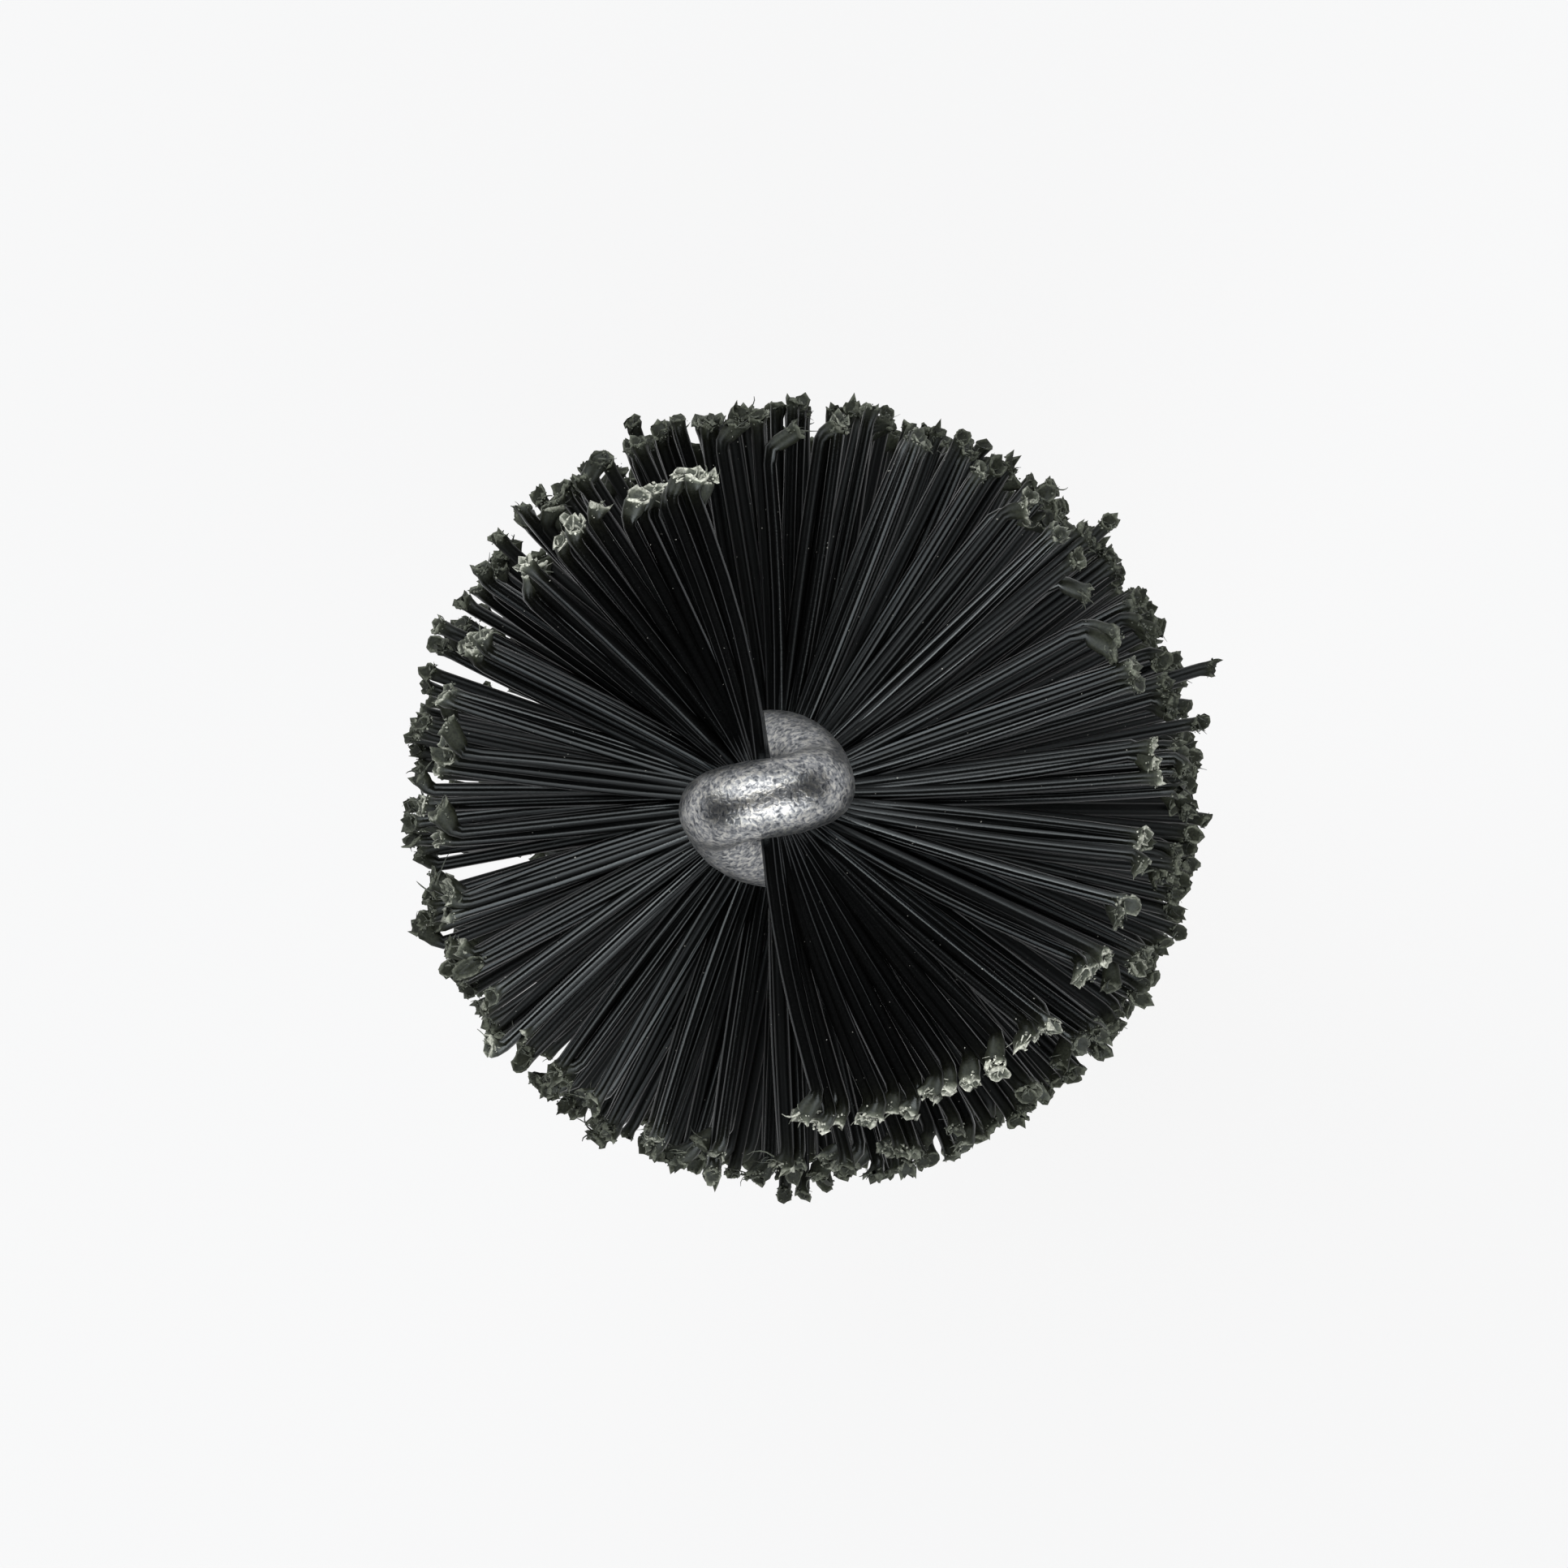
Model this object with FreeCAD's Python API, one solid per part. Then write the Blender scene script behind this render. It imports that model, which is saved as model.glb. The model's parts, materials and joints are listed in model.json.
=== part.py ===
import FreeCAD, Part

import math
import os

# A twisted-in-wire cleaning brush for the valve casings of brass instruments, in millimetres.
#
# The brush stands on the flat brass cap of its wooden handle. Its axis is +Z and its tip is up,
# and the origin is the centre of the cap's flat base. One steel wire is folded into a hairpin
# and twisted, and nylon filaments are clamped between its two legs, so their tips stand on a
# two-start helicoid. A bristle row holds the filaments of one half-turn of the wire. They are
# crushed together where the legs clamp them, so a row is one solid.

Vector = FreeCAD.Vector
ORIGIN = Vector(0, 0, 0)
X_AXIS = Vector(1, 0, 0)
Y_AXIS = Vector(0, 1, 0)
Z_AXIS = Vector(0, 0, 1)

# Driving dimensions
TOTAL_LENGTH = 230.0
WIRE_D = 2.0
LEG_GAP = 0.42  # between the two legs, at the axis
TWIST_PITCH = 12.0  # height of one full turn of the twisted pair
LOOP_ANGLE = 12.0  # direction of the tip loop about +Z, in degrees from +X
BENDS_PER_TURN = 8

FILAMENT_D = 0.35
BRUSH_D = 21.4
NOSE_D = 16.6  # the trim diameter at the first filament
NOSE_LENGTH = 16.0
ROW_COUNT = 12
FILAMENTS_PER_ROW = 16
CRUSH_WIDTH = 0.28  # side of the square strip of crushed filament on the axis

CAP_R = 8.6
CAP_FLOOR = 2.5
CAP_HEIGHT = 8.0
CAP_WALL = 0.8
HANDLE_TOP = 92.0  # the shoulder that the ferrule sits on
TENON_TOP = 108.0
TENON_R = 5.5
FERRULE_R = 6.1
FERRULE_TOP = 118.0
FERRULE_THROAT_R = 2.85
SLEEVE_TOP = 152.0
SLEEVE_WALL = 0.45
BUSH_WALL = 0.55
BUSH_FLOOR = 1.0
STEM_BOTTOM = 81.0  # where the wire's cut ends are

HANG_HOLE_HEIGHT = 24.0
HANG_HOLE_R = 2.2
EYELET_WALL = 0.35
EYELET_HALF_LENGTH = 9.0
FLANGE_R = 3.9
SPOT_FACE_R = 4.2
SPOT_FACE_Y = 8.3
WASHER_THICKNESS = 0.4

FIT = 0.05  # radial clearance between pieces that slide together once
PIN_R = 0.6
PIN_HEAD_R = 1.1
PIN_HEIGHT = 98.0
PIN_TIP_X = 3.3
SCREW_HEAD_R = 3.2
SCREW_SHANK_R = 1.4
SCREW_LENGTH = 16.0
SINK_EDGE = 0.35  # how far above the base the countersink's cone begins

# What follows from them
WIRE_R = WIRE_D / 2
FILAMENT_R = FILAMENT_D / 2
LEG_R = (WIRE_D + LEG_GAP) / 2  # from the axis to the middle of a leg
SPRING_Z = TOTAL_LENGTH - WIRE_R - LEG_R  # where the loop's arch ends and the twist begins
HALF_TURN = TWIST_PITCH / 2
FILAMENT_STEP = HALF_TURN / FILAMENTS_PER_ROW
STEM_ENVELOPE_R = LEG_R + WIRE_R + 0.08  # the legs bulge a little at each bend


def twist_angle(height):
    """The direction of the wire's legs at a height, in radians: it turns left-handed."""
    turned = 2 * math.pi * (SPRING_Z - height) / TWIST_PITCH
    return math.radians(LOOP_ANGLE) + turned


def polar(radius, angle, height):
    return Vector(radius * math.cos(angle), radius * math.sin(angle), height)


def solid_of(shape):
    """The shape as one solid that faces outwards."""
    solid = Part.Solid(shape.Solids[0])
    if solid.Volume < 0:
        solid.reverse()
    return solid


def turned(start, *steps):
    """Revolve an outline of (radius, height) points about +Z. A pair of points is an arc."""
    here = Vector(start[0], 0, start[1])
    edges = []
    for step in steps + (start,):
        if isinstance(step[0], tuple):
            via, end = [Vector(radius, 0, height) for radius, height in step]
            edges.append(Part.Arc(here, via, end).toShape())
        else:
            end = Vector(step[0], 0, step[1])
            edges.append(Part.LineSegment(here, end).toShape())
        here = end
    return solid_of(Part.Face(Part.Wire(edges)).revolve(ORIGIN, Z_AXIS, 360))


def rod(radius, base, direction, length):
    return Part.makeCylinder(radius, length, base, direction)


def along(solid, axis):
    """Turn a solid that was made about +Z so that it lies along another axis."""
    moved = solid.copy()
    moved.Placement = FreeCAD.Placement(ORIGIN, FreeCAD.Rotation(Z_AXIS, axis))
    return moved


def bent_wire(points, share=0.45):
    """A round wire of straight runs through the points, joined by tangent arcs.

    Each arc takes up a share of the shorter of the two runs that meet at its point.
    """
    edges = []
    here = points[0]
    for before, corner, after in zip(points, points[1:], points[2:]):
        back = before - corner
        ahead = after - corner
        trim = share * min(back.Length, ahead.Length)
        back.normalize()
        ahead.normalize()
        half_angle = back.getAngle(ahead) / 2
        inwards = back + ahead
        inwards.normalize()
        centre = corner + inwards * (trim / math.cos(half_angle))
        middle = centre - inwards * (trim * math.tan(half_angle))
        arc_start = corner + back * trim
        arc_end = corner + ahead * trim
        edges.append(Part.LineSegment(here, arc_start).toShape())
        edges.append(Part.Arc(arc_start, middle, arc_end).toShape())
        here = arc_end
    edges.append(Part.LineSegment(here, points[-1]).toShape())
    path = Part.Wire(edges)
    section = Part.Wire(Part.makeCircle(WIRE_R, points[0], points[1] - points[0]))
    wire = solid_of(path.makePipe(Part.Face(section)))
    print("wire volume over section times length: %.4f"
          % (wire.Volume / (math.pi * WIRE_R ** 2 * path.Length)))
    return wire


def core_wire():
    """One wire: up one twisted leg, over the loop at the tip, and down the other leg."""
    bend_r = LEG_R / math.cos(math.pi / BENDS_PER_TURN)
    first_bend = SPRING_Z - 1.25 * LEG_R
    bend_step = TWIST_PITCH / BENDS_PER_TURN
    bend_count = int((first_bend - STEM_BOTTOM) / bend_step)
    heights = [first_bend - bend_step * count for count in range(bend_count + 1)]
    loop_angle = math.radians(LOOP_ANGLE)
    legs = []
    for side in (0, math.pi):
        corner = polar(LEG_R, loop_angle + side, TOTAL_LENGTH - WIRE_R)
        bends = [polar(bend_r, twist_angle(height) + side, height) for height in heights]
        legs.append([corner] + bends)
    return bent_wire(legs[0][::-1] + legs[1])


def trim_radius(height):
    """How far the filaments reach from the axis: less at the nose, then the full brush."""
    depth = min((SPRING_Z - height) / NOSE_LENGTH, 1)
    rounded = math.sin(depth * math.pi / 2)
    return (NOSE_D + (BRUSH_D - NOSE_D) * rounded) / 2


def bristle_row(index):
    """The filaments of one half-turn, each running through the gap from side to side."""
    top = SPRING_Z - index * HALF_TURN
    shapes = []
    for count in range(FILAMENTS_PER_ROW):
        height = top - (count + 0.5) * FILAMENT_STEP
        reach = trim_radius(height)
        across = polar(1, twist_angle(height) + math.pi / 2, 0)
        start = across * -reach + Vector(0, 0, height)
        shapes.append(rod(FILAMENT_R, start, across, 2 * reach))
    strip_height = HALF_TURN - FILAMENT_STEP
    corner = Vector(-CRUSH_WIDTH / 2, -CRUSH_WIDTH / 2, top - FILAMENT_STEP / 2 - strip_height)
    strip = Part.makeBox(CRUSH_WIDTH, CRUSH_WIDTH, strip_height, corner)
    return solid_of(strip.multiFuse(shapes))


def stem_sleeve():
    """The vinyl tube that keeps the steel stem from scratching the instrument."""
    inner = STEM_ENVELOPE_R
    outer = inner + SLEEVE_WALL
    bottom = TENON_TOP + 0.5
    edge = 0.2
    return turned((inner, bottom), (outer, bottom), (outer, SLEEVE_TOP - edge),
                  (outer - edge, SLEEVE_TOP), (inner, SLEEVE_TOP))


def stem_bush():
    """The steel cup, crimped on the wire's ends, that is pressed into the handle."""
    inner = STEM_ENVELOPE_R
    outer = inner + BUSH_WALL
    bottom = STEM_BOTTOM - BUSH_FLOOR - 0.5
    floor = bottom + BUSH_FLOOR
    return turned((0, bottom), (outer, bottom), (outer, TENON_TOP - 0.1),
                  (inner, TENON_TOP - 0.1), (inner, floor), (0, floor))


def ferrule():
    """The spun brass collar between the handle and the stem, with a bead at each end."""
    inner = TENON_R + FIT
    bead = 0.45
    collar = turned(
        (inner, HANDLE_TOP), (FERRULE_R, HANDLE_TOP),
        ((FERRULE_R + bead, HANDLE_TOP + 1), (FERRULE_R, HANDLE_TOP + 2)),
        (FERRULE_R, HANDLE_TOP + 12),
        ((FERRULE_R + bead, HANDLE_TOP + 13), (FERRULE_R, HANDLE_TOP + 14)),
        (FERRULE_R, HANDLE_TOP + 15),
        ((5.2, FERRULE_TOP - 6), (3.5, FERRULE_TOP - 1.4)),
        ((3.75, FERRULE_TOP - 0.7), (3.5, FERRULE_TOP)),
        (FERRULE_THROAT_R, FERRULE_TOP), (FERRULE_THROAT_R, FERRULE_TOP - 4),
        (inner, TENON_TOP + FIT))
    for hole in pin_holes(PIN_R + FIT):
        collar = collar.cut(hole)
    return solid_of(collar)


def pin_holes(radius):
    return [rod(radius, Vector(0, 0, PIN_HEIGHT) + side * PIN_TIP_X, side, FERRULE_R)
            for side in (X_AXIS, X_AXIS * -1)]


def ferrule_pins():
    """The two brass pins that hold the ferrule on the handle, one on each side."""
    tip = PIN_TIP_X + 0.1
    seat = FERRULE_R
    edge = seat + 0.15
    dome = 0.45
    crown_r = 0.2  # a small flat in the middle of the dome
    pin = turned((0, tip), (PIN_R * 0.4, tip), (PIN_R, tip + 0.8), (PIN_R, seat),
                 (PIN_HEAD_R, seat), (PIN_HEAD_R, edge),
                 ((PIN_HEAD_R * 0.75, edge + dome * 0.6), (crown_r, edge + dome)),
                 (0, edge + dome))
    pins = []
    for side in (X_AXIS, X_AXIS * -1):
        placed = along(pin, side)
        placed.translate(Vector(0, 0, PIN_HEIGHT))
        pins.append(placed)
    return Part.makeCompound(pins)


def handle_grip():
    """The turned beech handle, bored for the stem, the screw, the eyelet and the pins."""
    butt_r = CAP_R - CAP_WALL - FIT
    swell = [(CAP_R, CAP_HEIGHT), (9.0, 26.0), (8.3, 46.0), (6.9, 66.0), (6.5, 80.0),
             (FERRULE_R + 0.4, HANDLE_TOP)]
    curve = Part.BSplineCurve()
    curve.interpolate([Vector(radius, 0, height) for radius, height in swell])
    corners = [(FERRULE_R + 0.4, HANDLE_TOP), (TENON_R, HANDLE_TOP), (TENON_R, TENON_TOP),
               (0, TENON_TOP), (0, CAP_FLOOR), (butt_r, CAP_FLOOR), (butt_r, CAP_HEIGHT),
               (CAP_R, CAP_HEIGHT)]
    edges = [curve.toShape()]
    for (r_1, z_1), (r_2, z_2) in zip(corners, corners[1:]):
        edges.append(Part.LineSegment(Vector(r_1, 0, z_1), Vector(r_2, 0, z_2)).toShape())
    grip = solid_of(Part.Face(Part.Wire(edges)).revolve(ORIGIN, Z_AXIS, 360))
    bush_r = STEM_ENVELOPE_R + BUSH_WALL + FIT
    bush_bottom = STEM_BOTTOM - BUSH_FLOOR - 0.5
    holes = [
        rod(bush_r, Vector(0, 0, bush_bottom), Z_AXIS, TENON_TOP - bush_bottom + 1),
        rod(SCREW_SHANK_R, Vector(0, 0, CAP_FLOOR - 1), Z_AXIS, SCREW_LENGTH),
        rod(HANG_HOLE_R + EYELET_WALL + FIT, Vector(0, -CAP_R * 2, HANG_HOLE_HEIGHT),
            Y_AXIS, CAP_R * 4),
    ]
    for side in (Y_AXIS, Y_AXIS * -1):
        seat = Vector(0, 0, HANG_HOLE_HEIGHT) + side * SPOT_FACE_Y
        holes.append(rod(SPOT_FACE_R, seat, side, CAP_R))
    for hole in holes + pin_holes(PIN_R + FIT):
        grip = grip.cut(hole)
    return solid_of(grip)


def hang_eyelet():
    """The brass eyelet that lines the hang hole: a flange at -Y, a rolled lip at +Y."""
    inner = HANG_HOLE_R
    outer = inner + EYELET_WALL
    flange = EYELET_HALF_LENGTH - SPOT_FACE_Y
    lip_seat = SPOT_FACE_Y + WASHER_THICKNESS
    mouth = 0.3
    end = EYELET_HALF_LENGTH
    eyelet = turned(
        (inner, -end + mouth), ((inner + mouth * 0.3, -end + mouth * 0.3), (inner + mouth, -end)),
        (FLANGE_R - 0.3, -end),
        ((FLANGE_R - 0.05, -end + flange * 0.3), (FLANGE_R, -end + flange)),
        (outer, -SPOT_FACE_Y), (outer, lip_seat), (outer + 0.6, lip_seat),
        ((outer + 0.4, end - 0.06), (inner + mouth, end)),
        ((inner + mouth * 0.3, end - mouth * 0.3), (inner, end - mouth)))
    placed = along(eyelet, Y_AXIS)
    placed.translate(Vector(0, 0, HANG_HOLE_HEIGHT))
    return placed


def eyelet_washer():
    """The brass washer under the eyelet's rolled lip."""
    inner = HANG_HOLE_R + EYELET_WALL + FIT
    edge = 0.12
    top = SPOT_FACE_Y + WASHER_THICKNESS
    washer = turned((inner, SPOT_FACE_Y), (FLANGE_R, SPOT_FACE_Y), (FLANGE_R, top - edge),
                    (FLANGE_R - edge, top), (inner, top))
    placed = along(washer, Y_AXIS)
    placed.translate(Vector(0, 0, HANG_HOLE_HEIGHT))
    return placed


def butt_cap():
    """The brass cap on the end of the handle, with a flat base and a countersunk hole."""
    edge = 0.6
    inner = CAP_R - CAP_WALL
    hole = SCREW_SHANK_R + 0.2
    sink_r = SCREW_HEAD_R + FIT
    return turned(
        (sink_r, 0), (CAP_R - edge, 0), ((CAP_R - edge * 0.3, edge * 0.3), (CAP_R, edge)),
        (CAP_R, CAP_HEIGHT), (inner, CAP_HEIGHT), (inner, CAP_FLOOR), (hole, CAP_FLOOR),
        (hole, SINK_EDGE + sink_r - hole), (sink_r, SINK_EDGE))


def cap_screw():
    """The slotted countersunk screw that holds the cap on the handle."""
    face = SINK_EDGE - 0.15
    neck = SINK_EDGE + SCREW_HEAD_R - SCREW_SHANK_R
    tip = CAP_FLOOR - 1 + SCREW_LENGTH - 0.5
    screw = turned((0, face), (SCREW_HEAD_R - 0.1, face), (SCREW_HEAD_R, SINK_EDGE),
                   (SCREW_SHANK_R, neck), (SCREW_SHANK_R, tip - 3), (0, tip))
    slot_width = 0.8
    slot = Part.makeBox(4 * SCREW_HEAD_R, slot_width, 0.9,
                        Vector(-2 * SCREW_HEAD_R, -slot_width / 2, 0))
    return solid_of(screw.cut(slot))


def nodes():
    yield "core_wire", core_wire()
    for index in range(ROW_COUNT):
        yield "bristle_row_%02d" % (index + 1), bristle_row(index)
    yield "stem_sleeve", stem_sleeve()
    yield "stem_bush", stem_bush()
    yield "ferrule", ferrule()
    yield "ferrule_pins", ferrule_pins()
    yield "handle_grip", handle_grip()
    yield "hang_eyelet", hang_eyelet()
    yield "eyelet_washer", eyelet_washer()
    yield "butt_cap", butt_cap()
    yield "cap_screw", cap_screw()


def main():
    os.makedirs("parts", exist_ok=True)
    for name, shape in nodes():
        print("%-16s %10.2f mm3, %d solid(s), valid %s"
              % (name, shape.Volume, len(shape.Solids), shape.isValid()))
        shape.exportStep("parts/%s.step" % name)


main()
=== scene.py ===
import json
import math

import bpy
import numpy as np
from mathutils import Matrix, Vector, noise


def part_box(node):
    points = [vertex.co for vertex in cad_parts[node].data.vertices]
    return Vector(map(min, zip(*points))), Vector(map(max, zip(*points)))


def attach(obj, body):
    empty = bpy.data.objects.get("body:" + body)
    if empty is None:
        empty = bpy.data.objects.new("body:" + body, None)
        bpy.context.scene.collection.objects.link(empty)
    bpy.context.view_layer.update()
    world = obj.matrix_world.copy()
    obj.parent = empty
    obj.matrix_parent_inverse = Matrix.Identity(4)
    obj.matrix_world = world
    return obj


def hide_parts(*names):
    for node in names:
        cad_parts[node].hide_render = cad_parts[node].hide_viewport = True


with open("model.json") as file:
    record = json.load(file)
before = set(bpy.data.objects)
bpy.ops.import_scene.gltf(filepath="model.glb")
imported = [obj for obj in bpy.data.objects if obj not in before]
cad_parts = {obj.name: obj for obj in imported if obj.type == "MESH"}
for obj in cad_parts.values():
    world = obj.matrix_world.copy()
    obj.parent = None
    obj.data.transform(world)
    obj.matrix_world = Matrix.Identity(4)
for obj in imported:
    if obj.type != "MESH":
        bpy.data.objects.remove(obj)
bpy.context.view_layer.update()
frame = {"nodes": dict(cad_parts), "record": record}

# The looks of a twisted wire cleaning brush. Shapes are worked out in millimetres about the
# brush's axis, +Z, and made in metres. Angles are counter-clockwise seen from the tip, and
# depths are measured down from where the loop of the wire ends and the twist begins. What is
# called turns is a depth counted in half turns of the wire, one for each row of filaments.

MM = 0.001
BODY = "root"
UP = np.array([0.0, 0.0, 1.0])

# Wire and twist
WIRE_R = 0.98
LEG_R = 1.25  # from the axis to the middle of a leg
TWIST_PITCH = 12.0
LOOP_ANGLE = math.radians(14)  # the loop's direction where its arch meets the legs
LOOP_SWEEP = math.radians(6)  # how far the loop's middle lags behind its ends
TWIST_START = 0.5  # depth over which the steady twist sets in
WIRE_CORNERS = 48
ARCH_RINGS = 64
TIP_STEP = 0.06  # spacing of the wire's rings down to TIP_DEPTH, down to HEAD_DEPTH and below
HEAD_STEP = 0.35
STEM_STEP = 0.8
TIP_DEPTH = 7.0
HEAD_DEPTH = 80.0
WIRE_END_GAP = 0.4  # how far the legs stop short of the CAD wire's ends
DENTED_DEPTH = 8.0
DENTS = ((0.016, 3.1), (0.009, 9.0))  # heights of the dents in the zinc, and how many to a mm

# Sleeve
SLEEVE_BORE = 2.29
SLEEVE_CORNERS = 64
SLEEVE_STEP = 0.25
SLEEVE_RELIEF = 0.08  # half of how far the legs of the wire press it out
SLEEVE_EDGE = 0.18  # how far its top edge is rounded in, and over what depth
SLEEVE_EDGE_DEPTH = 0.16

# Filaments
FILAMENT_R = 0.175
FINE_ROWS = 3  # rows at the tip that get the most detail
FILAMENTS_PER_ROW = 54  # in the fine rows
PLAIN_PER_ROW = 42
FINE_CORNERS = 12
PLAIN_CORNERS = 10
HALF_TURN = TWIST_PITCH / 2
FIRST_DEPTH = 0.15
SLIDE = 0.07  # how far a filament may lie to either side of the wire's axis
ROOT_RADIUS = 0.8  # where the rings of a filament start, inside the wire
SHAFT_STATIONS = 6
BEND_SPAN = 0.4  # how far a bent end takes to turn
FAN_LENGTH = 0.13  # half turns over which the first filaments are fanned out
ROOT_FAN = math.radians(-11)
TIP_FAN = math.radians(-3.5)
CROWDED_TURNS = 0.3  # where the first filaments of a side stand closest
CLUMP_SEED = 7
CLUMP_SIZES = (1, 2, 2, 3, 3, 3, 4, 4)
CLUMP_SHIFT = math.radians(0.9)
TIP_SHIFT = 0.006  # radians
LOOSE_TURNS = 2  # where the rows begin that are less clumped and fill the gaps in front
SQUEEZE = (0.16, 0.36)  # what is left of the distance between tips in a clump
DEEP_SQUEEZE = (0.42, 0.85)  # the same beyond LOOSE_TURNS
CROWD_SQUEEZE = 0.8  # and down to CROWDED_TURNS
FULL_REACH = 10.6
NOSE_REACH = 8.3
NOSE_TURNS = 1.15
TRIM_OFFSET = np.array([0.6, 0.2])  # the nose is trimmed a little off the wire's axis
OFFSET_TURNS = 3.0
TRIM_SPREAD = 0.09
STRAY_SHARE = 0.15  # of ends that reach further than the rest
STRAY_LENGTH = 0.25
PLAIN_STRAY_LENGTH = 0.12
ROW_SEED = 100  # for the first row, and one more for each row after it
CROWD_END = 0.33  # turns down to which the ends are worn most, and how fast that fades
CROWD_FADE = 0.14
# How dull a filament is by chance, how much duller it gets for each half turn down, and the
# depth where that stops. The depth part also lowers the nylon's specular level, a painted shade
# on the deeper rows.
CHANCE_DULLNESS = 0.45
TURN_DULLNESS_AND_SHADE = 0.18
DULLEST_SHADED_TURN = 3

# Camera and light
CAMERA_DISTANCE = 230.0
CAMERA_TILT = math.radians(2.4)
FRAME_WIDTH = 38.64  # what the picture takes in at the height of the tip
LOOP_IN_FRAME = (-0.52, -0.36)  # where the loop lies from the middle of the picture
SOFT_AZIMUTHS = (80, 112, 144, 260, 292, 324)
RIM_AZIMUTHS = (65, 110, 150, 245, 290, 330)
FLOOR_HALF = 30.0  # metres
FLOOR_GLOW = 0.855


def node_box(node):
    """The lowest and highest corner of a CAD node's box."""
    low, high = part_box(node)
    return np.array(low) / MM, np.array(high) / MM


TIP_Z = node_box("core_wire")[1][2]
SPRING_Z = TIP_Z - WIRE_R - LEG_R  # where the loop's arch ends and the twist begins


# ---------------------------------------------------------------- mesh helpers

class Shape:
    """Points, faces and two values for each point, gathered into one mesh."""

    def __init__(self):
        self.points = []
        self.faces = []
        self.fray = []
        self.strand = []
        self.count = 0

    def add(self, points, faces, fray=0.0, strand=0.0):
        self.points.append(points)
        for face in faces:
            self.faces.append([corner + self.count for corner in face])
        self.fray.append(np.zeros(len(points)) + fray)
        self.strand.append(np.zeros(len(points)) + strand)
        self.count += len(points)

    def make(self, name, node, material):
        """The mesh as an object that takes the place of a CAD node."""
        mesh = bpy.data.meshes.new(name)
        points = np.concatenate(self.points) * MM
        mesh.from_pydata(points.tolist(), [], self.faces)
        for label, values in (("fray", self.fray), ("strand", self.strand)):
            layer = mesh.attributes.new(label, "FLOAT", "POINT")
            layer.data.foreach_set("value", np.concatenate(values).astype(np.float32))
        mesh.polygons.foreach_set("use_smooth", [True] * len(mesh.polygons))
        mesh.materials.append(material)
        mesh.update()
        piece = bpy.data.objects.new(name, mesh)
        bpy.context.scene.collection.objects.link(piece)
        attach(piece, BODY)
        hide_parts(node)
        return piece


RING_FACES = {}


def ring_faces(rings, corners):
    """Quads between rings of points, with a face over each end."""
    key = (rings, corners)
    if key not in RING_FACES:
        faces = []
        for ring in range(rings - 1):
            for corner in range(corners):
                after = (corner + 1) % corners
                low, high = ring * corners, (ring + 1) * corners
                faces.append([low + corner, low + after, high + after, high + corner])
        last = (rings - 1) * corners
        faces.append([last + corner for corner in range(corners)])
        faces.append(list(reversed(range(corners))))
        RING_FACES[key] = faces
    return RING_FACES[key]


def unit(vectors):
    return vectors / np.linalg.norm(vectors, axis=-1, keepdims=True)


def level_frames(centres):
    """Ahead, side and up directions at each point of a path that stays near the level."""
    ahead = unit(np.gradient(centres, axis=0))
    sides = unit(np.cross(UP, ahead))
    return ahead, sides, np.cross(ahead, sides)


def carried_frames(centres):
    """Side and up directions that turn as little as they can along a path."""
    ahead = unit(np.gradient(centres, axis=0))
    off_axis = UP + 0.1
    side = unit(np.cross(ahead[0], off_axis))
    sides = []
    for direction in ahead:
        side = unit(side - direction * side.dot(direction))
        sides.append(side)
    sides = np.array(sides)
    return sides, np.cross(ahead, sides)


def per_corner(sizes, rings, corners):
    """Sizes given as one number, one per ring or one per corner, as one per corner."""
    sizes = np.asarray(sizes, float)
    if sizes.ndim == 1:
        sizes = sizes[:, None]
    return np.broadcast_to(sizes, (rings, corners))


def rings_on(centres, sides, ups, wide, tall, corners):
    """Elliptical rings of points, wide along sides and tall along ups."""
    turn = np.linspace(0, 2 * math.pi, corners, endpoint=False)
    across = per_corner(wide, len(centres), corners) * np.cos(turn)
    along = per_corner(tall, len(centres), corners) * np.sin(turn)
    return (centres[:, None, :] + sides[:, None, :] * across[:, :, None]
            + ups[:, None, :] * along[:, :, None])


# ---------------------------------------------------------------- the twisted wire

def leg_angle(depth):
    """The direction of the first leg at a depth, which is negative in the loop's arch."""
    steady = 2 * math.pi / TWIST_PITCH
    if depth < 0:
        return LOOP_ANGLE - LOOP_SWEEP * (depth / LEG_R) ** 2
    return LOOP_ANGLE + steady * (depth - TWIST_START * (1 - math.exp(-depth / TWIST_START)))


def wire_path():
    """Points along the wire: up one leg, over the loop, and down the other leg."""
    bottom = SPRING_Z - node_box("core_wire")[0][2] - WIRE_END_GAP
    depths = np.concatenate([np.arange(TIP_STEP, TIP_DEPTH, TIP_STEP),
                             np.arange(TIP_DEPTH, HEAD_DEPTH, HEAD_STEP),
                             np.arange(HEAD_DEPTH, bottom, STEM_STEP)])
    down = [[LEG_R * math.cos(leg_angle(depth)), LEG_R * math.sin(leg_angle(depth)),
             SPRING_Z - depth] for depth in depths]
    arch = []
    for turn in np.linspace(0, math.pi, ARCH_RINGS):
        height = LEG_R * math.sin(turn)
        across = LEG_R * math.cos(turn)
        angle = leg_angle(-height)
        arch.append([across * math.cos(angle), across * math.sin(angle), SPRING_Z + height])
    other = [[-x, -y, z] for x, y, z in down]
    return np.array(down[::-1] + arch + other)


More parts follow.
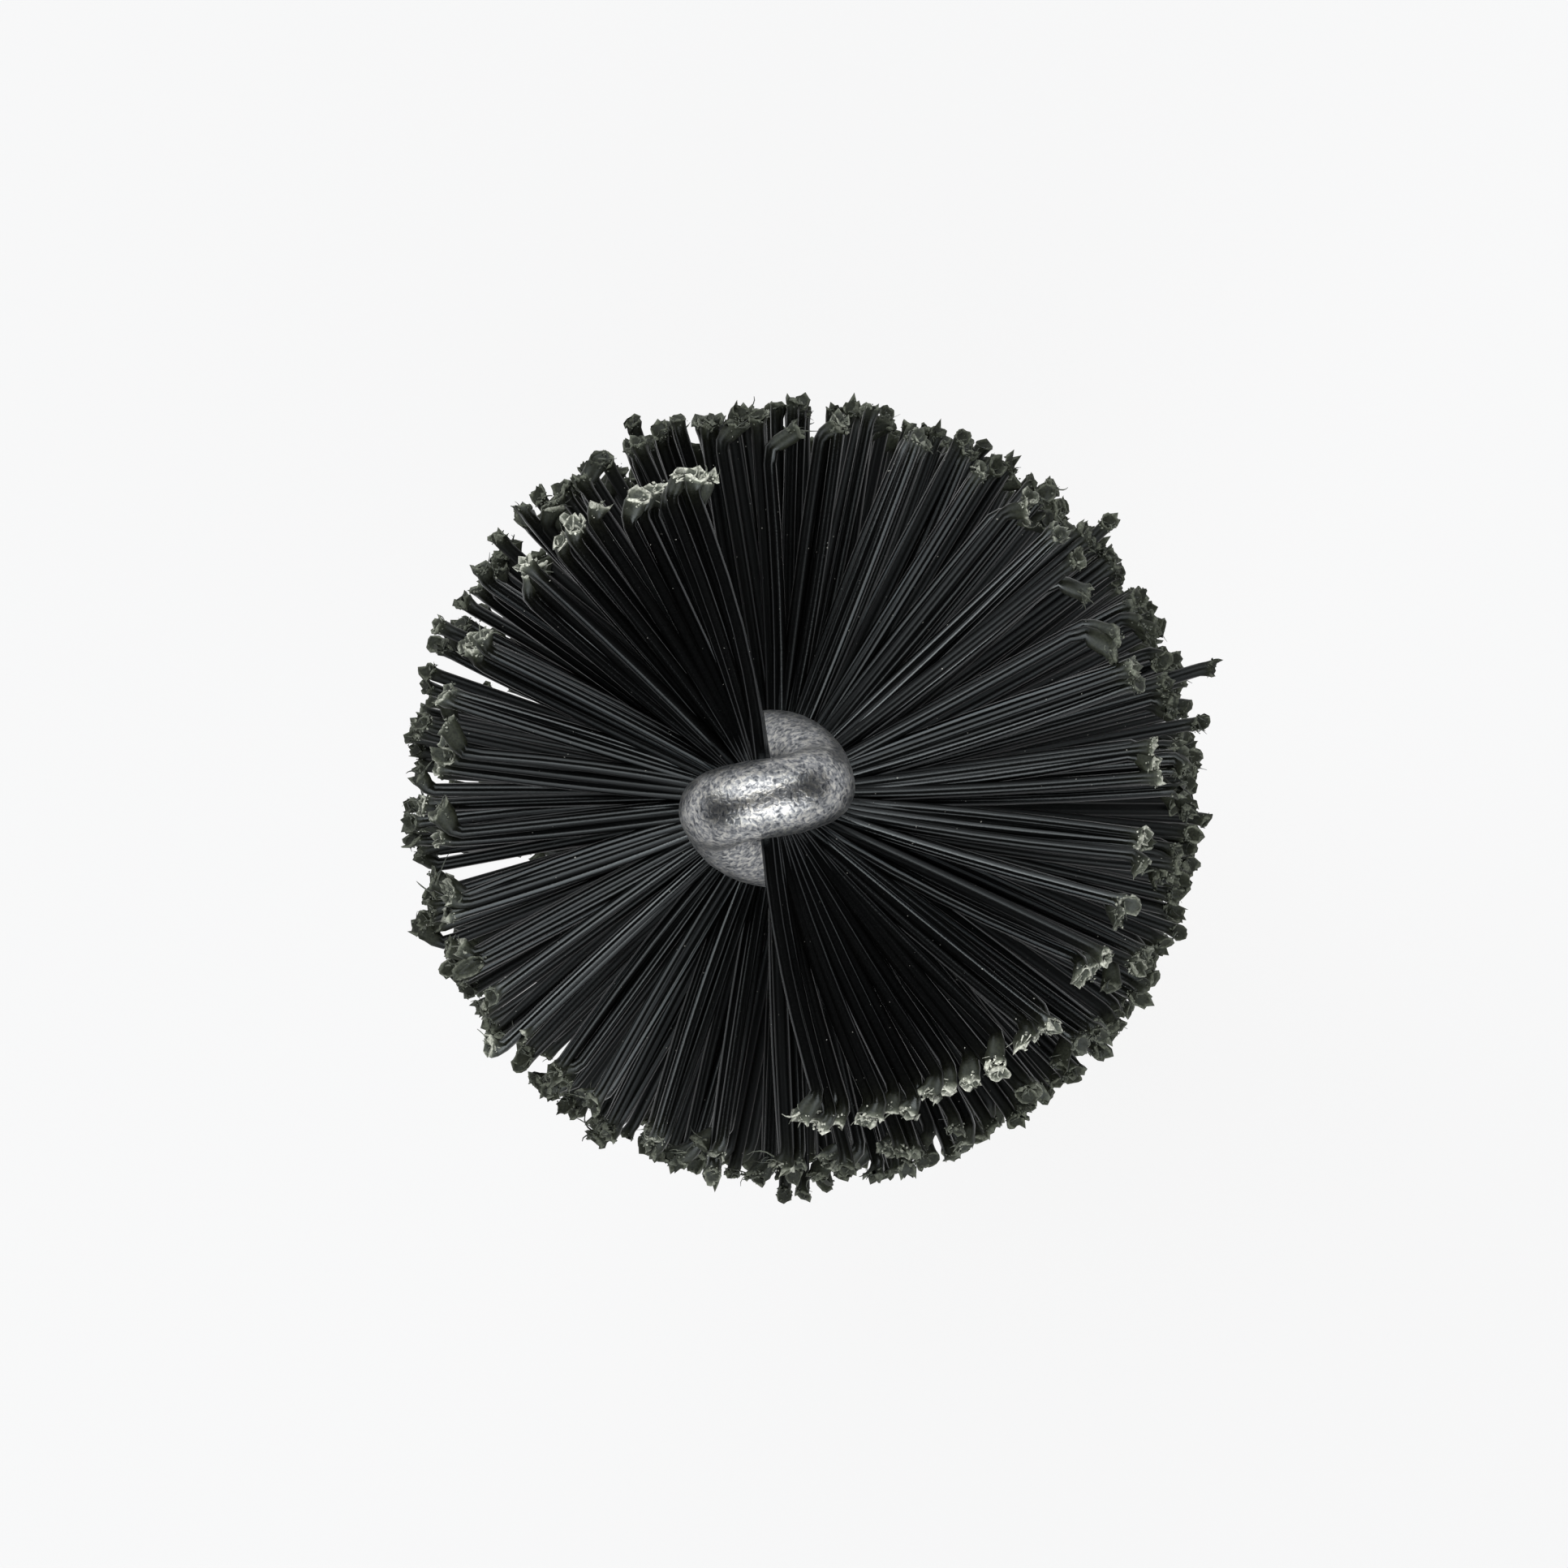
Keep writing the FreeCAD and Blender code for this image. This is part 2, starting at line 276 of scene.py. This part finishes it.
def core_wire(material):
    """The wire, a little uneven where its coat of zinc is thick near the tip."""
    centres = wire_path()
    sides, ups = carried_frames(centres)
    rings = rings_on(centres, sides, ups, WIRE_R, WIRE_R, WIRE_CORNERS)
    outward = (rings - centres[:, None, :]) / WIRE_R
    dents = np.zeros(rings.shape[:2])
    for index in np.nonzero(centres[:, 2] > SPRING_Z - DENTED_DEPTH)[0]:
        for corner in range(WIRE_CORNERS):
            place = Vector(rings[index, corner])
            dents[index, corner] = sum(height * noise.noise(place * rate)
                                       for height, rate in DENTS)
    shape = Shape()
    rings = rings + outward * dents[:, :, None]
    shape.add(rings.reshape(-1, 3), ring_faces(len(centres), WIRE_CORNERS))
    return shape.make("wire_core", "core_wire", material)


def stem_sleeve(material):
    """The vinyl tube, which shows faintly where the two legs press it out from inside."""
    low, high = node_box("stem_sleeve")
    outer = high[0]
    turn = np.linspace(0, 2 * math.pi, SLEEVE_CORNERS, endpoint=False)
    rings = []
    for height in np.arange(low[2], high[2], SLEEVE_STEP):
        legs = leg_angle(SPRING_Z - height)
        inset = SLEEVE_EDGE * math.exp(-(high[2] - height) / SLEEVE_EDGE_DEPTH)
        radii = outer - SLEEVE_RELIEF + SLEEVE_RELIEF * np.cos(2 * (turn - legs)) - inset
        rings.append(np.stack([radii * np.cos(turn), radii * np.sin(turn),
                               np.full(SLEEVE_CORNERS, height)], axis=1))
    to_bore = np.array([SLEEVE_BORE / outer, SLEEVE_BORE / outer, 1.0])
    rings = rings + [rings[-1] * to_bore, rings[0] * to_bore, rings[0]]
    shape = Shape()
    faces = [face for face in ring_faces(len(rings), SLEEVE_CORNERS) if len(face) == 4]
    shape.add(np.concatenate(rings), faces)
    return shape.make("sleeve_tube", "stem_sleeve", material)


# ---------------------------------------------------------------- the filaments

def trim_reach(turns, angle):
    """How far a filament reaches from the wire's axis."""
    grown = 1 - math.exp(-turns / NOSE_TURNS)
    offset = TRIM_OFFSET * math.exp(-turns / OFFSET_TURNS)
    towards = offset[0] * math.cos(angle) + offset[1] * math.sin(angle)
    return NOSE_REACH + (FULL_REACH - NOSE_REACH) * grown + towards


def clump_starts():
    """The angles at which the clumps of filaments start, the same in every row."""
    rng = np.random.default_rng(CLUMP_SEED)
    starts = [0.0]
    while starts[-1] < 2 * math.pi:
        starts.append(starts[-1] + rng.choice(CLUMP_SIZES) * math.pi / FILAMENTS_PER_ROW)
    return np.array(starts)


def clumped(angles, turns, rng):
    """The angles of a row's tips, drawn together into clumps with gaps between them."""
    starts = clump_starts()
    around = angles % (2 * math.pi)
    which = np.searchsorted(starts, around, side="right") - 1
    middles = (starts[which] + starts[which + 1]) / 2
    shifts = rng.normal(0, CLUMP_SHIFT, len(starts))[which]
    limits = SQUEEZE if turns[0] < LOOSE_TURNS else DEEP_SQUEEZE
    squeeze = rng.uniform(*limits, len(starts))[which]
    squeeze = np.where(turns < CROWDED_TURNS, CROWD_SQUEEZE, squeeze)
    drawn = middles + (around - middles) * squeeze + shifts
    return angles + drawn - around + rng.normal(0, TIP_SHIFT, len(angles))


# The worn end of a filament, ring by ring: distance back from the end, radius against the
# shaft's, fray, and how far the ring takes on the slant of the cut. Fray is 0 on a new shaft
# and 1 on torn nylon. END_TEAR and END_SWELL are how unevenly the corners of the last rings
# lie, along the shaft and out from it.
END_BACKS = np.array([1.25, 0.85, 0.62, 0.42, 0.24, 0.1, 0.02, 0.0, 0.05, 0.1])
END_RADII = np.array([1.0, 1.0, 1.0, 1.0, 1.02, 1.12, 1.26, 1.2, 0.9, 0.5])
END_FRAY = np.array([0.0, 0.03, 0.08, 0.17, 0.32, 0.56, 0.9, 1.0, 0.6, 0.5])
END_SLANT = np.array([0, 0, 0, 0.15, 0.4, 0.8, 1, 1, 1, 1])
END_TEAR = np.array([0.02, 0.05, 0.08, 0.04])
END_SWELL = 0.11
SHAFT_GAP = 0.3  # between the last ring of the shaft and the first of the end
DRAGGED_FRAY = 0.35  # the least fray on the bent part of a dragged end


def half_path(root, headings, reach, style):
    """The centres of a half filament's rings from the core out, how far each ring is round the
    bend near the end, and how far it lies beyond its centre where the end closes inwards."""
    shaft = np.linspace(ROOT_RADIUS, reach - END_BACKS[0] - SHAFT_GAP, SHAFT_STATIONS)
    stations = np.concatenate([shaft, reach - END_BACKS])
    ordered = np.minimum.accumulate(stations[::-1])[::-1]
    out = np.clip((ordered - ROOT_RADIUS) / (reach - ROOT_RADIUS), 0, 1)
    bent = np.clip((ordered - reach + style["bend_length"]) / BEND_SPAN, 0, 1)
    bent = bent * bent * (3 - 2 * bent)
    heading = headings[0] + 2 * (headings[1] - headings[0]) * out - style["bend"] * bent
    rise = style["rise"] + style["end_rise"] * bent
    steps = np.diff(ordered, prepend=0)
    moves = np.stack([np.cos(heading), np.sin(heading), rise], axis=1) * steps[:, None]
    return root + np.cumsum(moves, axis=0), bent, stations - ordered


def half_filament(root, headings, reach, style, rng, corners):
    """One half of a filament, from the core out to its worn end: the centre, width, height,
    shifts along the shaft and fray of each ring."""
    centres, bent, beyond = half_path(root, headings, reach, style)
    straight = np.ones(SHAFT_STATIONS)
    radii = FILAMENT_R * np.concatenate([straight, 1 + (END_RADII - 1) * style["flare"]])
    flat = bent * style["flatten"]
    turn = np.linspace(0, 2 * math.pi, corners, endpoint=False)
    slant = style["slant_side"] * np.cos(turn) + style["slant_up"] * np.sin(turn)
    weight = np.concatenate([0 * straight, END_SLANT])
    torn = np.zeros((len(centres), corners))
    torn[-5:-1] = rng.normal(0, 1, (4, corners)) * END_TEAR[:, None]
    shifts = weight[:, None] * slant * FILAMENT_R + torn * style["ragged"]
    shifts += beyond[:, None]
    swell = np.ones((len(centres), corners))
    swell[-6:-2] += rng.normal(0, 1, (4, corners)) * END_SWELL * style["ragged"]
    wide = (radii * (1 + flat))[:, None] * swell
    tall = (radii * (1 - 0.5 * flat))[:, None] * swell
    fray = np.concatenate([0 * straight, END_FRAY * style["fray"]])
    fray = np.maximum(fray, DRAGGED_FRAY * bent * style["dragged"])
    return [centres, wide, tall, shifts, fray]


STRIP_THICKNESS = 0.014


def strip(shape, base, heading, length, width, curl, lift, fray, rng):
    """A thin torn strip of nylon that starts on a filament's end and curls away."""
    stations = 6
    along = np.linspace(0, 1, stations)
    angles = heading + curl * along ** 1.5
    rises = lift * along + rng.normal(0, 0.15, stations)
    moves = np.stack([np.cos(angles), np.sin(angles), rises], axis=1) * length / stations
    centres = base + np.cumsum(moves, axis=0) - moves[0]
    _, sides, ups = level_frames(centres)
    taper = 1 - 0.7 * along ** 1.6
    wide = width * taper * rng.uniform(0.6, 1.3, stations)
    thick = STRIP_THICKNESS + STRIP_THICKNESS * taper
    rings = rings_on(centres, sides, ups, wide, thick, 4)
    shape.add(rings.reshape(-1, 3), ring_faces(stations, 4), np.repeat(fray - 0.15 * along, 4))


CRUMB_CORNERS = np.array([(1, 0, 0), (0, 1, 0), (-1, 0, 0), (0, -1, 0), (0, 0, 1), (0, 0, -1)])
CRUMB_FACES = [(0, 1, 4), (1, 2, 4), (2, 3, 4), (3, 0, 4),
               (1, 0, 5), (2, 1, 5), (3, 2, 5), (0, 3, 5)]


def crumb(shape, place, size, fray, rng):
    """A crumb of torn nylon that clings to an end."""
    points = CRUMB_CORNERS * rng.uniform(0.5, 1.3, (6, 1)) * size
    turn = Matrix.Rotation(rng.uniform(0, 6), 3, Vector(rng.normal(0, 1, 3)))
    shape.add(points @ np.array(turn) + place, CRUMB_FACES, fray)


def end_style(turns, rng, fine):
    """How one end is worn. Use has dragged the ends clockwise, and most of all on the first
    filaments of each side, which stand closest together."""
    crowd = math.exp(-max(turns - CROWD_END, 0) / CROWD_FADE) if turns < 1 else 0.0
    dragged = rng.random() < 0.22 + 0.6 * crowd
    return {
        "bend": rng.uniform(0.65, 1.15) if dragged else abs(rng.normal(0, 0.1)),
        "bend_length": rng.uniform(0.45, 1.0) if dragged else 0.5,
        "flare": rng.uniform(0.3, 1.0) if dragged else rng.uniform(0.6, 1.4),
        "flatten": rng.uniform(0.15, 0.55) if dragged else rng.uniform(0, 0.12),
        "slant_side": rng.normal(0.1, 0.3) - (0.5 if dragged else 0),
        "slant_up": rng.normal(-0.7, 0.5) if fine and not dragged else rng.normal(-0.3, 0.4),
        "ragged": rng.uniform(0.6, 1.4) if fine else 0.6,
        "rise": rng.normal(0, 0.045) + 0.05 * math.exp(-turns / 0.25),
        "end_rise": rng.normal(0, 0.12),
        "fray": rng.uniform(0.8, 1.0) * (0.62 + (0.32 + 0.16 * crowd) * math.exp(-turns / 1.5)),
        "dragged": dragged,
    }


def torn_bits(shape, end, angle, style, rng, count):
    """The strips, burrs and crumbs on one end. Most run across it and out clockwise."""
    sideways = angle - math.pi / 2 - style["bend"] * 0.4
    across = np.array([-math.sin(angle), math.cos(angle), 0.0])
    outward = np.array([math.cos(angle), math.sin(angle), 0.0])
    for _ in range(count):
        start = (across * rng.uniform(-0.12, 0.2) + outward * rng.uniform(-0.14, 0.04)
                 + UP * rng.uniform(-0.12, 0.18))
        beyond = rng.exponential(0.16 if style["dragged"] else 0.07)
        strip(shape, end + start, sideways + rng.normal(0.2, 0.45), 0.18 + min(beyond, 1.3),
              rng.uniform(0.012, 0.034), rng.normal(0.3, 1.0), rng.normal(0.1, 0.4),
              rng.uniform(0.7, 1.05) * style["fray"], rng)
    for _ in range(3 * count):
        turn = rng.uniform(0, 2 * math.pi)
        lip = FILAMENT_R * rng.uniform(0.95, 1.4)
        lean = style["slant_side"] * math.cos(turn) + style["slant_up"] * math.sin(turn)
        place = (across * lip * math.cos(turn) + UP * lip * math.sin(turn)
                 + outward * (lean * FILAMENT_R + rng.normal(0, 0.03)))
        crumb(shape, end + place, rng.uniform(0.018, 0.05),
              rng.uniform(0.75, 1.05) * style["fray"], rng)


def mirror_order(corners):
    """Which corner of a ring matches each one when the ring is read from the other end."""
    return (corners // 2 - np.arange(corners)) % corners


def path_frames(centres):
    """Level frames for a filament, whose last rings at each end lie in one place."""
    steps = np.linalg.norm(np.diff(centres, axis=0), axis=1)
    apart = np.concatenate([[True], steps > 1e-6])
    ahead, sides, ups = level_frames(centres[apart])
    which = np.cumsum(apart) - 1
    return ahead[which], sides[which], ups[which]


def filament(shape, height, headings, turns, lengthen, rng, fine):
    """One filament, from its worn end on one side through the wire to the other side."""
    corners = FINE_CORNERS if fine else PLAIN_CORNERS
    slide = rng.uniform(-SLIDE, SLIDE)
    root_angle = headings[0][0]
    across = np.array([-math.sin(root_angle), math.cos(root_angle), 0.0])
    root = across * slide + UP * height
    halves = []
    for side in range(2):
        style = end_style(turns, rng, fine)
        tip_angle = headings[side][1]
        reach = trim_reach(turns, tip_angle) + lengthen[side] + rng.normal(0, TRIM_SPREAD)
        half = half_filament(root, headings[side], reach, style, rng, corners)
        halves.append(half)
        count = int(rng.integers(4, 8)) if fine else 2
        torn_bits(shape, half[0][-3], tip_angle, style, rng, count)
    first = [part[::-1] for part in halves[0]]
    order = mirror_order(corners)
    first = [first[0], first[1][:, order], first[2][:, order], -first[3][:, order], first[4]]
    centres, wide, tall, shifts, fray = [
        np.concatenate(parts) for parts in zip(first, halves[1])]
    ahead, sides, ups = path_frames(centres)
    rings = rings_on(centres, sides, ups, wide, tall, corners)
    rings = rings + ahead[:, None, :] * shifts[:, :, None]
    # Dull by chance, and more by depth, where it is also a painted shade: deeper rows get a
    # lower specular level in the nylon.
    dullness_and_shade = rng.random() * CHANCE_DULLNESS + min(turns, DULLEST_SHADED_TURN) * TURN_DULLNESS_AND_SHADE
    shape.add(rings.reshape(-1, 3), ring_faces(len(centres), corners),
              np.repeat(fray, corners), dullness_and_shade)


def bristle_row(index, material):
    """The filaments of one half turn of the wire."""
    rng = np.random.default_rng(ROW_SEED + index)
    shape = Shape()
    fine = index < FINE_ROWS
    number = FILAMENTS_PER_ROW if fine else PLAIN_PER_ROW
    turns = index + (np.arange(number) + 0.5) / number
    gaps = np.array([leg_angle(turn * HALF_TURN) for turn in turns]) + math.pi / 2
    fan = np.exp(-turns / FAN_LENGTH)
    roots = gaps + ROOT_FAN * fan
    sides = [clumped(gaps + TIP_FAN * fan, turns, rng) for _ in range(2)]
    stray = STRAY_LENGTH if fine else PLAIN_STRAY_LENGTH
    for count, turn in enumerate(turns):
        headings = [(roots[count] + side * math.pi, sides[side][count] + side * math.pi)
                    for side in range(2)]
        lengthen = [rng.exponential(stray) if rng.random() < STRAY_SHARE else 0
                    for _ in range(2)]
        height = SPRING_Z - FIRST_DEPTH - turn * HALF_TURN
        filament(shape, height, headings, turn, lengthen, rng, fine)
    label = "%02d" % (index + 1)
    return shape.make("filaments_" + label, "bristle_row_" + label, material)


# ---------------------------------------------------------------- materials

def new_material(name):
    material = bpy.data.materials.new(name)
    material.use_nodes = True
    tree = material.node_tree
    return material, tree, tree.nodes["Principled BSDF"]


def noise_at(tree, size, stretch=(1, 1, 1), detail=2.0, distortion=0.0):
    """Noise in cells of about size millimetres, stretched along each axis."""
    place = tree.nodes.new("ShaderNodeTexCoord")
    mapping = tree.nodes.new("ShaderNodeMapping")
    mapping.inputs["Scale"].default_value = [1 / (size * MM * along) for along in stretch]
    texture = tree.nodes.new("ShaderNodeTexNoise")
    texture.inputs["Scale"].default_value = 1.0
    texture.inputs["Detail"].default_value = detail
    texture.inputs["Distortion"].default_value = distortion
    tree.links.new(place.outputs["Object"], mapping.inputs["Vector"])
    tree.links.new(mapping.outputs["Vector"], texture.inputs["Vector"])
    return texture.outputs["Fac"]


def ramp(tree, factor, stops):
    """A colour that follows a factor through stops of (place, colour)."""
    node = tree.nodes.new("ShaderNodeValToRGB")
    elements = node.color_ramp.elements
    while len(elements) < len(stops):
        elements.new(0.5)
    for element, (place, colour) in zip(elements, stops):
        element.position = place
        element.color = (*colour, 1)
    tree.links.new(factor, node.inputs["Fac"])
    return node.outputs["Color"]


def grey(value):
    return (value, value, value)


def plain_colour(tree, colour):
    node = tree.nodes.new("ShaderNodeRGB")
    node.outputs[0].default_value = (*colour, 1)
    return node.outputs[0]


def blend_colours(tree, factor, one, other, mode="MIX"):
    """Two colours mixed by a number or by a texture."""
    node = tree.nodes.new("ShaderNodeMix")
    node.data_type = "RGBA"
    node.blend_type = mode
    if isinstance(factor, float):
        node.inputs["Factor"].default_value = factor
    else:
        tree.links.new(factor, node.inputs["Factor"])
    tree.links.new(one, node.inputs[6])
    tree.links.new(other, node.inputs[7])
    return node.outputs[2]


def bump(tree, shader, height, depth):
    """Roughens the surface by a height of up to depth millimetres."""
    node = tree.nodes.new("ShaderNodeBump")
    node.inputs["Distance"].default_value = depth * MM
    node.inputs["Strength"].default_value = 1.0
    tree.links.new(height, node.inputs["Height"])
    tree.links.new(node.outputs["Normal"], shader.inputs["Normal"])


def attribute(tree, name):
    """The fray or strand value that each point of a mesh carries."""
    node = tree.nodes.new("ShaderNodeAttribute")
    node.attribute_name = name
    return node.outputs["Fac"]


def nylon_material():
    """Near-black drawn nylon that turns olive and then pale where it is torn, with dust.
    The strand value says how dull a filament is, by chance and by how deep it stands. By depth
    it also lowers the specular level, a painted shade on the deeper rows under the ones in
    front."""
    material, tree, shader = new_material("drawn_nylon")
    fray = attribute(tree, "fray")
    worn = ramp(tree, fray, [
        (0.0, (0.0018, 0.0018, 0.0018)), (0.15, (0.006, 0.0065, 0.004)),
        (0.4, (0.026, 0.029, 0.019)), (0.65, (0.15, 0.163, 0.13)), (1.0, (0.88, 0.9, 0.8))])
    mottle = ramp(tree, noise_at(tree, 0.06, detail=3.0), [(0.35, grey(0.35)), (0.6, grey(1))])
    worn = blend_colours(tree, 0.85, worn, mottle, "MULTIPLY")
    specks = ramp(tree, noise_at(tree, 0.09, detail=1.0), [(0.79, grey(0)), (0.82, grey(1))])
    colour = blend_colours(tree, specks, worn, plain_colour(tree, (0.3, 0.3, 0.28)))
    tree.links.new(colour, shader.inputs["Base Color"])
    strand = attribute(tree, "strand")
    gloss = ramp(tree, strand, [(0.0, grey(0.1)), (0.4, grey(0.2)), (1.0, grey(0.55))])
    torn = ramp(tree, fray, [(0.1, grey(0)), (0.6, grey(1))])
    tree.links.new(blend_colours(tree, torn, gloss, plain_colour(tree, grey(0.75))),
                   shader.inputs["Roughness"])
    # Specular level falls as the strand value rises: random dullness, and painted shade on the
    # deeper rows.
    shine_and_shade = ramp(tree, strand, [(0.12, grey(0.52)), (0.5, grey(0.2)), (1.0, grey(0.12))])
    tree.links.new(shine_and_shade, shader.inputs["Specular IOR Level"])
    shader.inputs["Specular Tint"].default_value = (0.86, 0.95, 1.0, 1)
    bump(tree, shader, noise_at(tree, 0.05, detail=2.0), 0.002)
    return material


def zinc_material():
    """Hot zinc on steel: an orange-peel skin, mottled light and dark."""
    material, tree, shader = new_material("zinc_coat")
    grain = noise_at(tree, 0.12, detail=3.0, distortion=0.6)
    broad = noise_at(tree, 0.9, detail=2.0)
    colour = ramp(tree, grain, [
        (0.3, (0.07, 0.075, 0.085)), (0.46, (0.28, 0.29, 0.31)), (0.66, (0.64, 0.63, 0.6))])
    shade = ramp(tree, broad, [(0.3, grey(0.6)), (0.7, grey(1))])
    tree.links.new(blend_colours(tree, 0.8, colour, shade, "MULTIPLY"),
                   shader.inputs["Base Color"])
    shader.inputs["Metallic"].default_value = 1.0
    tree.links.new(ramp(tree, grain, [(0.3, grey(0.4)), (0.7, grey(0.3))]),
                   shader.inputs["Roughness"])
    bump(tree, shader, grain, 0.018)
    return material


def vinyl_material():
    """Soft black tube with a bloom of fine scratches."""
    material, tree, shader = new_material("soft_vinyl")
    bloom = noise_at(tree, 1.6, stretch=(1, 1, 4), detail=4.0)
    tree.links.new(ramp(tree, bloom, [(0.3, grey(0.008)), (0.75, grey(0.03))]),
                   shader.inputs["Base Color"])
    tree.links.new(ramp(tree, bloom, [(0.3, grey(0.26)), (0.75, grey(0.46))]),
                   shader.inputs["Roughness"])
    bump(tree, shader, noise_at(tree, 0.12, detail=2.0), 0.006)
    return material


def turned_metal(name, bright, dull, smooth, rough):
    """Metal turned on a lathe: fine rings round the axis and a little tarnish."""
    material, tree, shader = new_material(name)
    rings = noise_at(tree, 0.11, stretch=(60, 60, 1), detail=3.0)
    tarnish = noise_at(tree, 2.5, detail=5.0)
    tree.links.new(ramp(tree, tarnish, [(0.25, dull), (0.75, bright)]),
                   shader.inputs["Base Color"])
    shader.inputs["Metallic"].default_value = 1.0
    polish = ramp(tree, rings, [(0.3, grey(smooth)), (0.7, grey(rough))])
    smudge = ramp(tree, tarnish, [(0.3, grey(1.0)), (0.7, grey(0.85))])
    tree.links.new(blend_colours(tree, 1.0, polish, smudge, "MULTIPLY"),
                   shader.inputs["Roughness"])
    bump(tree, shader, rings, 0.004)
    return material


def beech_material():
    """Oiled beech: soft growth rings along the handle, with short dark ray flecks."""
    material, tree, shader = new_material("oiled_beech")
    growth = noise_at(tree, 2.6, stretch=(1, 0.6, 22), detail=4.0, distortion=0.4)
    base = ramp(tree, growth, [
        (0.3, (0.36, 0.17, 0.07)), (0.5, (0.5, 0.265, 0.12)), (0.7, (0.58, 0.33, 0.155))])
    flecks = ramp(tree, noise_at(tree, 0.42, stretch=(1, 1, 5.5), detail=1.0),
                  [(0.6, grey(1)), (0.72, grey(0.42))])
    pores = ramp(tree, noise_at(tree, 0.12, stretch=(1, 1, 12), detail=2.0),
                 [(0.3, grey(0.78)), (0.55, grey(1))])
    colour = blend_colours(tree, 0.75, base, flecks, "MULTIPLY")
    colour = blend_colours(tree, 0.9, colour, pores, "MULTIPLY")
    tree.links.new(colour, shader.inputs["Base Color"])
    tree.links.new(ramp(tree, growth, [(0.3, grey(0.42)), (0.7, grey(0.55))]),
                   shader.inputs["Roughness"])
    bump(tree, shader, pores, 0.015)
    return material


def dress_cad_nodes(finishes):
    """Gives each CAD node the finish of the slot that the record names for it."""
    for part in frame["record"]["subparts"]:
        for slot in frame["nodes"][part["node"]].material_slots:
            slot.material = finishes[part["material_slot"]]


# ---------------------------------------------------------------- stage, light and camera

def floor():
    """A pale floor that glows, so that shadows hardly show on it."""
    half = FLOOR_HALF
    mesh = bpy.data.meshes.new("floor")
    mesh.from_pydata([(-half, -half, 0), (half, -half, 0), (half, half, 0), (-half, half, 0)],
                     [], [(0, 1, 2, 3)])
    material, _, shader = new_material("pale_floor")
    shader.inputs["Base Color"].default_value = (0.058, 0.06, 0.064, 1)
    shader.inputs["Roughness"].default_value = 1.0
    shader.inputs["Specular IOR Level"].default_value = 0.0
    shader.inputs["Emission Color"].default_value = (1, 1, 1, 1)
    shader.inputs["Emission Strength"].default_value = FLOOR_GLOW
    mesh.materials.append(material)
    piece = bpy.data.objects.new("floor", mesh)
    bpy.context.scene.collection.objects.link(piece)


def studio_light(name, azimuth, elevation, strength, width, colour):
    """A far lamp, which is width degrees across as the brush sees it."""
    lamp = bpy.data.lights.new("%s_%03d" % (name, azimuth), "SUN")
    lamp.energy = strength
    lamp.angle = math.radians(width)
    lamp.color = colour
    piece = bpy.data.objects.new(lamp.name, lamp)
    around, high = math.radians(azimuth), math.radians(elevation)
    towards = Vector((math.cos(around) * math.cos(high), math.sin(around) * math.cos(high),
                      math.sin(high)))
    piece.rotation_mode = "QUATERNION"
    piece.rotation_quaternion = towards.to_track_quat("Z", "Y")
    bpy.context.scene.collection.objects.link(piece)


def lighting():
    """High and low soft lights from both sides, faint narrow ones that line the filaments,
    and a dim room."""
    world = bpy.data.worlds.new("studio")
    world.use_nodes = True
    background = world.node_tree.nodes["Background"]
    background.inputs["Color"].default_value = (0.9, 0.95, 1, 1)
    background.inputs["Strength"].default_value = 0.03
    bpy.context.scene.world = world
    for azimuth in SOFT_AZIMUTHS:
        studio_light("high_light", azimuth, elevation=50, strength=0.8, width=32,
                     colour=(1, 0.99, 0.96))
        studio_light("low_light", azimuth, elevation=20, strength=0.3, width=30,
                     colour=(1, 1, 0.99))
    for azimuth in RIM_AZIMUTHS:
        studio_light("rim_light", azimuth, elevation=30, strength=0.08, width=12,
                     colour=(0.85, 0.95, 1))
    bpy.context.scene.view_settings.view_transform = "Standard"


def camera():
    """A long lens that looks down at the tip, a little off the brush's axis."""
    data = bpy.data.cameras.new("camera")
    data.sensor_width = 36.0
    data.lens = data.sensor_width * CAMERA_DISTANCE / FRAME_WIDTH
    data.clip_start = 0.01
    data.clip_end = 100.0
    piece = bpy.data.objects.new("camera", data)
    bpy.context.scene.collection.objects.link(piece)
    back = Vector((math.sin(CAMERA_TILT), 0, math.cos(CAMERA_TILT)))
    right = Vector((0, 1, 0)).cross(back).normalized()
    up = back.cross(right)
    aim = Vector((0, 0, TIP_Z)) - right * LOOP_IN_FRAME[0] - up * LOOP_IN_FRAME[1]
    piece.location = (aim + back * CAMERA_DISTANCE) * MM
    piece.rotation_mode = "QUATERNION"
    piece.rotation_quaternion = Matrix((right, up, back)).transposed().to_quaternion()
    bpy.context.scene.camera = piece


def main():
    """Dresses the CAD nodes, makes the detailed pieces and sets the stage."""
    brass = turned_metal("turned_brass", (0.78, 0.53, 0.22), (0.64, 0.41, 0.16), 0.2, 0.36)
    steel = turned_metal("turned_steel", (0.56, 0.56, 0.57), (0.4, 0.39, 0.38), 0.2, 0.38)
    finishes = {"galvanised_wire": zinc_material(), "nylon": nylon_material(),
                "vinyl": vinyl_material(), "steel": steel, "brass": brass,
                "beech": beech_material()}
    dress_cad_nodes(finishes)
    core_wire(finishes["galvanised_wire"])
    stem_sleeve(finishes["vinyl"])
    rows = [name for name in frame["nodes"] if name.startswith("bristle_row_")]
    for index in range(len(rows)):
        bristle_row(index, finishes["nylon"])
    floor()
    lighting()
    camera()


main()
